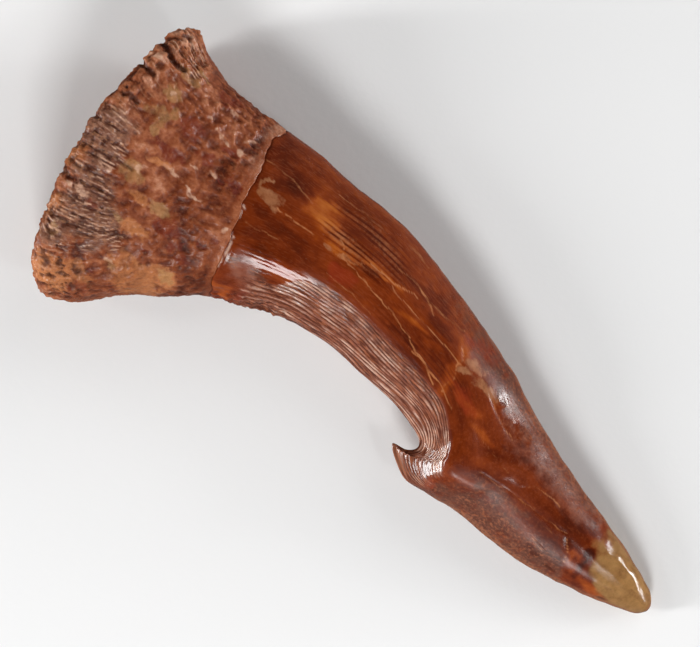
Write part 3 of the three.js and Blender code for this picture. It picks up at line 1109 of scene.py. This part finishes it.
        # Painted glints on the striae's ridges: broken into dashes, brightest on the notch face and
        # left off the barb.
        crests = np.clip(0.45 + 0.7 * mottle + 0.8 * dashes + 0.8 * blot(x, y, self.notch_glint_face)
                         - 0.9 * blot(x, y, self.barb_face), 0.1, 1.4)
        return {
            "grain": grain, "tone": tone, "polish": polish,
            "rugged": np.clip(0.15 + 0.75 * band + 0.8 * edges * (1 - horn) + 0.6 * violet, 0, 1.2),
            "fibrous": 1.0 - 0.8 * np.maximum(horn, step(17.0, 20.0, x) * (1 - band)),
            "red": blots(x, y, self.red_spots) * (0.6 + 0.6 * grainy),
            "violet": violet * (0.6 + 0.8 * grainy) * (1 - 0.5 * concave * speckled),
            # Pale patches, the pale ground between the hairlines, and the tip's painted highlight.
            "chalk_and_glint": np.maximum.reduce([blots(x, y, self.chalk_spots) * (0.3 + 1.2 * grainy),
                                        0.75 * ground, gleam]),
            "horn": horn * (1 - 0.9 * bruise) * (1 - 0.55 * blot(x, y, self.horn_belly)),
            # Band colour, also laid as the collar's flush, the blade's dust and the convex flank's
            # painted sheen.
            "band": np.maximum.reduce([band * (0.8 + 0.2 * mottle), flushed, dust_and_sheen]),
            "furrow": np.maximum.reduce([band * (1 - 1.5 * striae), 0.95 * groove, 0.9 * specks,
                                         0.5 * smudged]),
            # The pale ridge colour is painted glints on the striae's ridges and along the enamel's
            # lip.
            "ridge": np.maximum(glint, band * striae * crests),
            "rind": np.maximum(edges, barb),
            "vein": vein,
        }


# ---------------------------------------------------------------------------------------------
# The root
# ---------------------------------------------------------------------------------------------

# Fossil dentine and bone: porous and fibrous, polished on its high spots by handling.
FOSSIL_ROOT = FossilFinish(
    name="fossil_root_bone",
    ramp=((0.02, "#3a1206"), (0.26, "#5c2712"), (0.50, "#7b3e23"), (0.74, "#985a3c"),
          (1.0, "#c28c70")),
    stains=(
        Stain("rust", "#a45f33", "#c48454", 0.75, 1.3),
        Stain("ashen", "#654437", "#7c5e50", 0.75, 1.0),
        Stain("ochre", "#8e6840", "#b8905e", 0.55, 1.5),
        Stain("wine", "#5e1c0e", "#742e1e", 0.7, 1.1),
        # This pale stain also carries painted glints: dashes on the ridged patches.
        Stain("chalk_and_glint", "#a8765a", "#d4b098", 0.85, 1.0),
        Stain("hollow", "#3c1a0e", "#522818", 0.8, 0.7),
    ),
    streak_across=0.25, streak_along=1.0, streak_strength=0.35,
    speck_size=0.22, speck_strength=0.4, ragged_size=0.3,
    roughness_dull=0.46, roughness_polished=0.12, specular=0.17,
    grain_size=0.24, fibre_across=0.17, fibre_along=0.5, relief_depth=0.2,
    # The fine relief's hollows get painted shade and its crests a painted highlight.
    hollow_shade_colour="#50210f", hollow_shade_strength=0.52, crest_highlight_colour="#a87454", crest_highlight_strength=0.6,
)


@dataclass
class Root:
    """Flared root: patches of ridges near a knuckled rim, pits and lumps, and a dished end."""

    skin: ToothSkin
    columns: int = 560
    end_rings: int = 46
    lip_rings: int = 16
    rings: int = 120
    neck: float = 0.12
    collar_step: float = 0.05
    ridge_width: float = 0.37
    ridge_height: float = 0.16
    group_width: float = 1.1
    group_height: float = 0.1
    knuckle_height: float = 0.14
    lump_height: float = 0.1
    coarse_lump_height: float = 0.03
    flake_height: float = 0.16
    crumb_height: float = 0.055
    coarse_crumb_height: float = 0.05
    sponge_depth: float = 0.15
    sponge_size: float = 0.35
    pore_depth: float = 0.06
    pore_size: float = 0.4
    hole_depth: float = 0.05
    enamel_step: float = 0.3
    crest_height: float = 0.06
    flaky_patch: Oval = (-4.5, 2.6, 4.0, 3.4)
    ridge_patches: tuple[Oval, ...] = (
        (-10.6, -3.0, 2.9, 3.6), (-7.6, -7.2, 3.2, 2.6), (-9.6, 5.2, 2.2, 1.6),
        (-9.4, -8.6, 2.0, 1.8), (-8.6, -5.0, 2.4, 1.6),
    )
    porous_patches: tuple[Oval, ...] = ((-8.2, -11.2, 4.2, 2.6), (-12.0, -1.0, 1.3, 9.0))
    grooves: tuple[tuple[tuple[Point, ...], float, float], ...] = (
        (((-12.2, 4.75), (-11.3, 4.85), (-10.3, 4.5), (-9.4, 4.25)), 0.3, 0.3),
        (((-12.0, 2.85), (-10.6, 2.8)), 0.3, 0.3),
        (((-11.3, 0.75), (-10.1, 0.7)), 0.25, 0.22),
        (((-11.0, 6.15), (-10.4, 6.2)), 0.3, 0.28),
        (((-10.4, 6.1), (-9.3, 5.6), (-8.6, 5.4)), 0.3, 0.14),
        (((-11.9, -3.6), (-9.6, -3.2), (-7.6, -2.8)), 0.22, 0.16),
        (((-11.6, -6.0), (-9.6, -5.6), (-8.2, -5.2)), 0.22, 0.18),
        (((-10.6, -8.5), (-8.5, -8.2), (-7.0, -7.5), (-5.6, -6.7)), 0.25, 0.16),
        (((-11.7, -1.7), (-9.8, -1.5)), 0.2, 0.14),
    )
    ochre_spots: tuple[Oval, ...] = (
        (-8.5, 4.1, 1.1, 0.6), (-8.0, 4.9, 1.0, 0.3), (-8.7, 2.7, 0.9, 0.7), (-7.8, 1.6, 0.5, 0.9),
        (-8.6, 1.0, 1.4, 0.7), (-8.2, 0.3, 0.6, 0.4), (-7.4, -3.0, 1.1, 0.7),
        (-6.6, -5.8, 0.6, 0.4), (-1.6, -7.0, 1.0, 0.5), (-4.8, -8.5, 0.7, 0.3),
        (-9.0, -9.2, 0.6, 0.6), (-4.6, -3.7, 0.8, 0.5),
    )
    rust_spots: tuple[Oval, ...] = (
        (-3.2, -8.2, 2.8, 1.6), (-1.9, -7.0, 1.8, 0.9), (-7.3, -11.3, 2.4, 1.5),
        (-6.0, -10.3, 1.7, 0.7), (-5.3, -6.0, 1.5, 0.7), (-6.0, -4.1, 1.5, 0.5),
        (-11.0, -4.5, 0.8, 1.6), (-10.2, -8.0, 1.1, 1.6), (-6.4, -1.4, 1.2, 0.4),
    )
    wine_spots: tuple[Oval, ...] = (
        (-6.4, 1.6, 1.5, 0.8), (-1.9, 0.5, 1.1, 0.6), (-6.4, -0.5, 2.1, 0.6), (-4.3, 0.9, 1.0, 0.5),
        (-1.7, -5.2, 1.0, 0.8), (-5.8, 4.7, 1.4, 0.5), (-3.6, 2.2, 0.9, 0.5),
        (-8.0, -6.3, 0.9, 0.5), (-3.3, -4.4, 1.4, 1.0), (-5.6, -10.9, 1.1, 0.7),
    )
    dark_spots: tuple[Oval, ...] = (
        (-3.7, -4.75, 0.4, 0.28), (-3.6, -6.5, 0.28, 0.22), (-0.65, -3.15, 0.32, 0.28),
        (-1.2, -3.9, 0.45, 0.3), (-2.7, 0.25, 0.35, 0.22), (-1.6, 0.5, 0.5, 0.35),
        (-7.3, -0.2, 0.6, 0.25), (-5.7, 4.3, 0.7, 0.18), (-1.5, -7.8, 0.35, 0.22),
        (-1.9, -4.6, 0.25, 0.35), (-8.0, -11.2, 0.35, 0.25), (-6.7, -12.3, 0.35, 0.25),
        (-5.9, -11.3, 0.35, 0.25), (-5.6, -9.85, 0.35, 0.2), (-3.8, -9.5, 0.2, 0.15),
    )
    chalk_spots: tuple[Oval, ...] = (
        (-4.8, 4.1, 0.55, 0.4), (-4.4, 2.7, 1.0, 0.2), (-3.0, 3.5, 0.4, 0.35),
        (-2.8, 2.5, 0.5, 0.3), (-3.4, 0.3, 0.5, 0.3), (-4.5, 0.0, 0.5, 0.25),
        (-5.5, -1.4, 0.6, 0.25), (-3.9, -1.6, 1.1, 0.22), (-2.7, -1.2, 0.4, 0.2),
        (-7.0, -2.6, 0.3, 0.6), (-5.0, -8.5, 0.6, 0.3), (-9.4, -3.75, 1.1, 0.3),
        (-9.5, -6.1, 1.2, 0.3), (-8.7, -9.5, 0.35, 0.35), (-11.2, 3.8, 0.6, 0.3),
        (-8.7, 2.7, 0.4, 0.3), (-0.4, -2.2, 0.35, 0.5), (-5.6, 3.1, 0.5, 0.3),
    )

    def build(self) -> bpy.types.Object:
        """Builds the root's mesh and gives it its finish.

        Returns:
            The root.
        """
        skin = self.skin
        angle = TAU * np.arange(self.columns)[None, :] / self.columns
        bowl = np.linspace(0.04, 1.0, self.end_rings - self.lip_rings)[:-1] * skin.lip_share
        turn = np.linspace(0.0, math.pi / 2, self.lip_rings + 1)
        lip = skin.lip_share + (1 - skin.lip_share) * np.sin(turn)
        size = np.concatenate([bowl, lip, np.ones(self.rings - 1)])[:, None]
        share = even_rows(skin, 0.0, skin.collar, self.rings) / skin.collar
        share = np.concatenate([np.zeros(len(bowl) + len(lip) - 1), share])[:, None]
        t = share * (enamel_line(skin, angle) + self.neck)
        patch = Patch(skin, t, angle, size)
        height = self.relief(patch)
        grid = patch.grid + normals(patch.grid) * height[..., None]
        grid[..., 2] = np.maximum(grid[..., 2], 0.0)
        piece = closed_mesh("tooth_root", grid, grid[0].mean(axis=0), grid[-1].mean(axis=0),
                            self.marks(patch, height))
        piece.data.materials.append(FOSSIL_ROOT.material())
        return piece

    def round_rim(self, patch: Patch) -> np.ndarray:
        """Sums the steps round the rim, from the convex edge to each column.

        Args:
            patch: the root's grid.

        Returns:
            Distances in mm, in one row.
        """
        rim = self.skin.surface(np.zeros((1, 1)), patch.angle, np.ones((1, 1)), np.zeros((1, 1)))[0]
        steps = np.linalg.norm(np.diff(rim, axis=0), axis=-1)
        return np.concatenate([[0.0], np.cumsum(steps)])[None, :]

    def ridge_zone(self, patch: Patch) -> np.ndarray:
        """Share of the ridges: ovals near the rim, where the outer bone has kept its fluting.

        Args:
            patch: the root's grid.

        Returns:
            Values from 0 to 1, at least a quarter beside the rim and 0 inside the lip.
        """
        x = patch.x + 0.5 * rough(patch.grid, 1.6, 61)
        y = patch.y + 0.5 * rough(patch.grid, 1.6, 62)
        ovals = blots(x, y, self.ridge_patches)
        return np.maximum(ovals, 0.25 * (1 - step(0.5, 1.6, patch.t))) * step(0.7, 0.97, patch.size)

    def ridges(self, patch: Patch) -> tuple[np.ndarray, np.ndarray]:
        """Fine ridges and the wider groups that they stand in, both cosines round the rim.

        Args:
            patch: the root's grid.

        Returns:
            Fine ridges and groups, each from 0 to 1.
        """
        place = self.round_rim(patch)
        total = place[0, -1] + place[0, 1]
        fine_count = round(total / self.ridge_width)
        group_count = round(total / self.group_width)
        wander = noise(patch.grid * (0.6, 1, 1), 1.3, 63)
        broken = 0.9 * noise(patch.grid * (0.5, 1, 1), 0.7, 64)
        fine = 0.5 + 0.5 * np.cos(TAU * (fine_count * place / total + broken + 0.55 * wander))
        group = 0.5 + 0.5 * np.cos(TAU * (group_count * place / total + 0.5 * wander))
        return fine, group

    def porous(self, patch: Patch) -> np.ndarray:
        """Share of the porous bone: the lower corner, a strip along the rim and the end.

        Args:
            patch: the root's grid.

        Returns:
            Values from 0 to 1.
        """
        x = patch.x + 0.6 * rough(patch.grid, 1.4, 66)
        y = patch.y + 0.6 * rough(patch.grid, 1.4, 67)
        spots = blots(x, y, self.porous_patches)
        return np.maximum(spots, 1 - step(0.65, 0.95, patch.size))

    def relief(self, patch: Patch) -> np.ndarray:
        """Sum of ridges, rim knuckles, lumps, flakes, crumbs, pits, grooves and the collar step.

        Past the enamel line the root drops under the crown, so that the two pieces overlap.

        Args:
            patch: the root's grid.

        Returns:
            Height in mm along the outward normal.
        """
        t, w, grid, grain = patch.t, patch.w, patch.grid, patch.grain
        fine, group = self.ridges(patch)
        zone = self.ridge_zone(patch)
        porous = self.porous(patch)
        uneven = 0.6 + 0.6 * noise(grain * (0.5, 1, 1), 0.5, 65)
        ridges = zone * (self.ridge_height * (fine - 0.5) * uneven
                         + self.group_height * (group - 0.6))
        rim = (1 - step(0.0, 0.6, t)) * step(0.6, 0.9, patch.size)
        coarse = np.maximum(rim, porous)
        knuckles = self.knuckle_height * rim * rough(grid, Grain.KNOB.value, 71, 2)
        lumps = ((self.lump_height + self.coarse_lump_height * coarse)
                 * rough(grid, Grain.LUMP.value, 73))
        flaky = 0.45 + 0.55 * blot(patch.x, patch.y, self.flaky_patch)
        flakes = self.flake_height * flaky * (0.45 - np.abs(noise(grain * (0.4, 1, 1), 0.5, 75)))
        crumbs = ((self.crumb_height + self.coarse_crumb_height * coarse)
                  * rough(grid, Grain.CRUMB.value, 77, 2))
        bent_x = patch.x + 0.25 * noise(grid, 0.6, 85)
        bent_y = patch.y + 0.16 * noise(grid, 0.5, 87)
        spongy = self.sponge_depth * pits(grid, self.sponge_size, 81, 0.5) * porous
        pores = self.pore_depth * pits(grid, self.pore_size, 83, 0.1)
        holes = self.hole_depth * blots(bent_x, bent_y, self.dark_spots)
        deep = np.zeros_like(w)
        for path, width, depth in self.grooves:
            deep = np.maximum(deep, depth * stroke(bent_x, bent_y, path, width))
        line = enamel_line(self.skin, patch.angle)
        near = step(-0.5, 0.0, t - line)
        loose = (lumps + flakes + crumbs) * (1 - 0.7 * near) - spongy - pores - holes - deep
        sunk = (-self.collar_step * step(-0.6, -0.05, t - line)
                - self.enamel_step * step(-0.005, 0.06, t - line))
        worn = step(0.0, 0.5, grid[..., 2])
        kept = step(0.12, 0.5, patch.size)
        return (ridges + knuckles + loose * (1 - step(-0.02, 0.03, t - line))) * worn * kept + sunk

    def marks(self, patch: Patch, height: np.ndarray) -> dict[str, np.ndarray]:
        """Places the tones and stains of the root on a slightly warped plan.

        Args:
            patch: the root's grid.
            height: its relief in mm.

        Returns:
            Values by name, most from 0 to 1, and the grain coordinates.
        """
        grid = patch.grid
        x = patch.x + 0.45 * rough(grid, 0.9, 91)
        y = patch.y + 0.35 * rough(grid, 0.8, 93)
        zone = self.ridge_zone(patch)
        porous = self.porous(patch)
        raised = np.clip((height - smoothed(height, 7)) / self.crest_height, -1.0, 1.0)
        mottle = 0.5 + 0.5 * rough(grid, 1.6, 95)
        flecks = pits(grid, 0.7, 97, 0.12)
        rust = blots(x, y, self.rust_spots)
        dark = blots(patch.x + 0.4 * noise(grid, 0.5, 96),
                     patch.y + 0.25 * noise(grid, 0.4, 98), self.dark_spots)
        fine, _ = self.ridges(patch)
        dashes = step(-0.15, 0.35, noise(patch.grain * (0.5, 1, 1), 0.4, 94))
        # Painted glints: pale dashes on the fine ridges of the ridged patches.
        glints = np.clip(1.8 * zone, 0.0, 1.0) * step(0.6, 0.92, fine) * dashes
        inner = 1 - step(0.6, 0.9, patch.size)
        apart = patch.t - enamel_line(self.skin, patch.angle)
        strip = step(-0.42, -0.25, apart + 0.1 * noise(grid, 0.9, 99)) * (0.3 + 0.7 * mottle)
        strip = strip * (0.05 + 0.8 * step(1.2, 2.8, patch.y))
        rim = (1 - step(0.0, 0.6, patch.t)) * step(0.6, 0.9, patch.size)
        rugged = 0.2 + 0.8 * np.maximum(np.maximum(rim, porous), zone)
        # Each factor here is how far a mark moves the tone along the ramp.
        tone = (0.48 + 0.4 * (mottle - 0.5) + 0.2 * raised + 0.08 * rim
                - 0.1 * step(-1.9, -0.7, apart) - 0.12 * inner - 0.18 * dark - 0.12 * flecks)
        ashen = (np.clip(1.5 * zone * (0.4 + 0.7 * mottle) * (1 - 0.6 * rust), 0.0, 1.0)
                 * (1 - 0.8 * step(2.0, 4.0, patch.y)))
        return {
            "grain": patch.grain, "tone": tone,
            "polish": np.clip(0.3 + 0.3 * raised + 0.3 * zone + 0.3 * glints, 0.0, 1.0),
            "rugged": np.clip(0.2 + 0.3 * rugged + 0.35 * zone * (0.4 + mottle), 0.0, 1.2),
            "fibrous": 0.35 + 0.45 * zone,
            "ashen": ashen,
            "rust": np.maximum(rust, 0.6 * porous * mottle) * (0.6 + 0.6 * mottle),
            "ochre": blots(x, y, self.ochre_spots) * (0.6 + 0.5 * mottle),
            "wine": np.maximum(blots(x, y, self.wine_spots) * (0.6 + 0.6 * mottle), 0.9 * dark),
            # Pale spots, the pale strip by the enamel line, and the painted glints on the ridges.
            "chalk_and_glint": np.maximum.reduce([blots(x, y, self.chalk_spots) * (0.6 + 0.5 * raised),
                                        0.6 * strip, glints]),
            "hollow": np.clip(rugged * (-1.1 * raised - 0.15) + 0.3 * inner * mottle, 0.0, 1.0),
        }


# ---------------------------------------------------------------------------------------------
# The studio
# ---------------------------------------------------------------------------------------------


@dataclass(frozen=True)
class Softbox:
    """Soft light: bearing, height, width and rise in degrees, and glow, seen from the tooth.

    A light that is not mirrored lights the tooth without showing in its gloss.
    """

    name: str
    bearing: float
    height: float
    width: float
    rise: float
    glow: float
    mirrored: bool = True
    distance: float = 0.45

    def build(self, aim: Vector) -> bpy.types.Object:
        """Hangs the light and turns it towards a point.

        Args:
            aim: the point that it lights, in metres.

        Returns:
            The light.
        """
        bearing, height = math.radians(self.bearing), math.radians(self.height)
        ray = Vector((math.cos(bearing) * math.cos(height), math.sin(bearing) * math.cos(height),
                      math.sin(height)))
        data = bpy.data.lights.new(self.name, "AREA")
        data.shape = "RECTANGLE"
        data.size = 2.0 * self.distance * math.tan(math.radians(self.width / 2))
        data.size_y = 2.0 * self.distance * math.tan(math.radians(self.rise / 2))
        data.energy = self.glow * math.pi * data.size * data.size_y
        light = bpy.data.objects.new(self.name, data)
        light.visible_glossy = self.mirrored
        light.location = aim + ray * self.distance
        light.rotation_euler = ray.to_track_quat("Z", "Y").to_euler()
        bpy.context.scene.collection.objects.link(light)
        return light


@dataclass
class Studio:
    """Pale paper floor, soft lights, pale walls and a camera that looks straight down.

    Each narrow lamp stands where one glossy part of the tooth mirrors it to the camera.  The
    wide panels light the tooth and the floor softly, and the walls are dark past the root.
    """

    aim: tuple[float, float, float] = (-0.00299, 0.00172, 0.0035)
    camera_height: float = 0.30
    seen_width: float = 0.04667
    sensor_width: float = 36.0
    turn_degrees: float = 40.0
    floor_size: float = 1.6
    softboxes: tuple[Softbox, ...] = (
        Softbox("crown_lamp", -55.0, 43.0, 14.5, 16.0, 24.5),
        Softbox("concave_side_panel", -105.0, 32.0, 45.0, 40.0, 0.4),
        Softbox("notch_lamp", -134.0, 16.0, 8.0, 34.0, 35.0),
        Softbox("convex_side_lamp", 51.0, 18.5, 4.5, 5.5, 36.0),
        Softbox("convex_side_panel", 80.0, 38.0, 50.0, 26.0, 1.8, False),
        Softbox("tip_side_panel", 8.0, 42.0, 60.0, 30.0, 0.25, False),
        Softbox("root_side_panel", 180.0, 45.0, 60.0, 30.0, 0.25, False),
        Softbox("root_side_lamp", -150.0, 42.0, 6.0, 6.0, 20.0),
        Softbox("far_lamp", 0.0, 52.0, 5.0, 5.0, 34.0),
        Softbox("horn_lamp", 52.5, 9.0, 6.0, 6.0, 48.0),
        Softbox("tip_lamp", 36.0, 8.0, 26.0, 7.0, 30.0),
    )
    wall_glow: float = 0.22
    dark_wall: float = 0.05
    ceiling_glow: float = 0.04
    bright_bearing: tuple[float, float, float] = (0.94, -0.34, 0.0)
    floor_drop: float = 2e-5
    paper_colour: str = "#e6e6e6"
    paper_fibre: float = 0.5
    paper_relief: float = 0.01

    def build(self) -> None:
        """Builds the floor, the softboxes, the surroundings and the camera."""
        self.build_floor()
        for softbox in self.softboxes:
            softbox.build(Vector(self.aim))
        self.build_surroundings()
        self.build_camera()

    def build_surroundings(self) -> None:
        """Makes the ceiling and the wall beyond the root dark, so that the enamel stays clear."""
        world = bpy.data.worlds.new("studio_air")
        world.use_nodes = True
        tree = world.node_tree
        background = tree.nodes["Background"]
        direction = add(tree, "ShaderNodeTexCoord")
        parts = add(tree, "ShaderNodeSeparateXYZ", None, {0: direction.outputs["Generated"]})
        bearing = add(tree, "ShaderNodeVectorMath", {"operation": "DOT_PRODUCT"},
                      {0: direction.outputs["Generated"], 1: self.bright_bearing})
        wall = add(tree, "ShaderNodeMapRange", {"interpolation_type": "SMOOTHSTEP"},
                   {"Value": bearing.outputs["Value"], "From Min": -0.6, "From Max": 0.15,
                    "To Min": self.dark_wall, "To Max": self.wall_glow})
        glow = add(tree, "ShaderNodeMapRange", {"interpolation_type": "SMOOTHSTEP"},
                   {"Value": parts.outputs["Z"], "From Min": 0.3, "From Max": 0.75,
                    "To Min": wall.outputs[0], "To Max": self.ceiling_glow})
        background.inputs["Color"].default_value = (1.0, 1.0, 1.0, 1.0)
        tree.links.new(glow.outputs[0], background.inputs["Strength"])
        bpy.context.scene.world = world
        bpy.context.scene.view_settings.view_transform = "Standard"

    def build_floor(self) -> bpy.types.Object:
        """Lays the floor just below the tooth: a square of matt paper with a fine grain.

        Returns:
            The floor.
        """
        half, low = self.floor_size / 2, -self.floor_drop
        mesh = bpy.data.meshes.new("paper_floor")
        corners = [(-half, -half, low), (half, -half, low), (half, half, low), (-half, half, low)]
        mesh.from_pydata(corners, [], [(0, 1, 2, 3)])
        material = bpy.data.materials.new("matt_paper")
        material.use_nodes = True
        tree = material.node_tree
        shader = tree.nodes["Principled BSDF"]
        shader.inputs["Base Color"].default_value = linear(self.paper_colour)
        shader.inputs["Roughness"].default_value = 0.9
        shader.inputs["Specular IOR Level"].default_value = 0.2
        place = add(tree, "ShaderNodeTexCoord")
        fibre = add(tree, "ShaderNodeTexNoise", None,
                    {"Vector": place.outputs["Object"], "Scale": 1.0 / (self.paper_fibre * MM),
                     "Detail": 3.0})
        bump = add(tree, "ShaderNodeBump", None,
                   {"Height": fibre.outputs["Fac"], "Distance": self.paper_relief * MM})
        tree.links.new(bump.outputs["Normal"], shader.inputs["Normal"])
        mesh.materials.append(material)
        floor = bpy.data.objects.new("paper_floor", mesh)
        # Mirrored in the enamel, the bright paper would veil its depth of colour.
        floor.visible_glossy = False
        bpy.context.scene.collection.objects.link(floor)
        return floor

    def build_camera(self) -> bpy.types.Object:
        """Hangs a long-lens camera over the tooth, turned so that the tip points down right.

        Its focal length is the sensor's width times the distance over the width that it sees.

        Returns:
            The camera.
        """
        data = bpy.data.cameras.new("camera")
        data.sensor_width = self.sensor_width
        data.lens = self.sensor_width * self.camera_height / self.seen_width
        data.clip_start = 0.01
        camera = bpy.data.objects.new("camera", data)
        place = Matrix.Translation(Vector(self.aim) + Vector((0.0, 0.0, self.camera_height)))
        camera.matrix_world = place @ Matrix.Rotation(math.radians(self.turn_degrees), 4, "Z")
        bpy.context.scene.collection.objects.link(camera)
        bpy.context.scene.camera = camera
        return camera


def main() -> None:
    """Builds the studio and the tooth."""
    logging.basicConfig(level=logging.INFO, format="%(name)s: %(message)s")
    Studio().build()
    skin = ToothSkin()
    for piece in (Root(skin).build(), Crown(skin).build()):
        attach(piece, "root")
        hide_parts(NODE)
        LOG.info("%s: %d faces", piece.name, len(piece.data.polygons))


if __name__ == "__main__":
    main()
